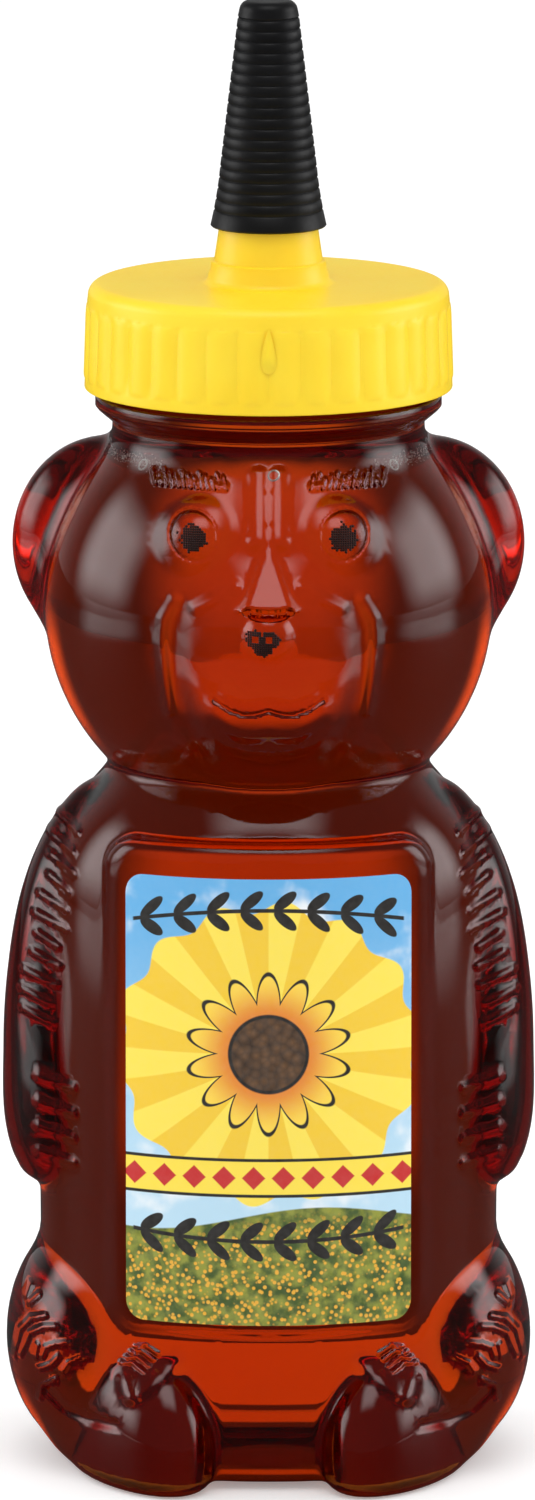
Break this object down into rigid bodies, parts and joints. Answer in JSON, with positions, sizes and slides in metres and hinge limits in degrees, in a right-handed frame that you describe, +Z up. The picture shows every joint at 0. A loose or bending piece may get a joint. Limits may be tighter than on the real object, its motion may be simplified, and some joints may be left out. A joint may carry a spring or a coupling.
{
  "type": "honey bear bottle",
  "caption": "Clear squeeze bottle moulded as a sitting bear, filled with amber honey, with a front label, ribbed screw cap, pouring spout and a pull-off tip cover.",
  "frame": {"origin": "on the ground plane under the axis of the neck and cap", "axes": "+Z up along the neck axis, -Y is the way the bear faces, +X to the viewer's right when looking at its face"},
  "size_m": [0.0594, 0.054, 0.1641],
  "materials": {
    "clear_pet": "gloss",
    "honey": "gloss",
    "label_paper": "satin",
    "liner_foam": "matte",
    "yellow_plastic": "satin",
    "black_plastic": "satin"
  },
  "bodies": {
    "bottle": {"bottle_shell": "clear_pet", "honey_fill": "honey", "front_label": "label_paper"},
    "liner": {"cap_liner": "liner_foam"},
    "cap": {"spout_cap": "yellow_plastic"},
    "tip": {"tip_cover": "black_plastic"}
  },
  "joints": [
    {"name": "cap_lift", "type": "slide", "parent": "bottle", "child": "liner", "axis": [0, 0, 1], "range_m": [0, 0.0053]},
    {"name": "cap_turn", "type": "hinge", "parent": "liner", "child": "cap", "pos_m": [0, 0, 0.125], "axis": [0, 0, 1], "range_deg": [0, 450]},
    {"name": "tip_pull", "type": "slide", "parent": "cap", "child": "tip", "axis": [0, 0, 1], "range_m": [0, 0.03]}
  ],
  "couplings": [
    {"joint": "cap_lift", "follows": "cap_turn", "m_per_rad": 0.00067375}
  ]
}
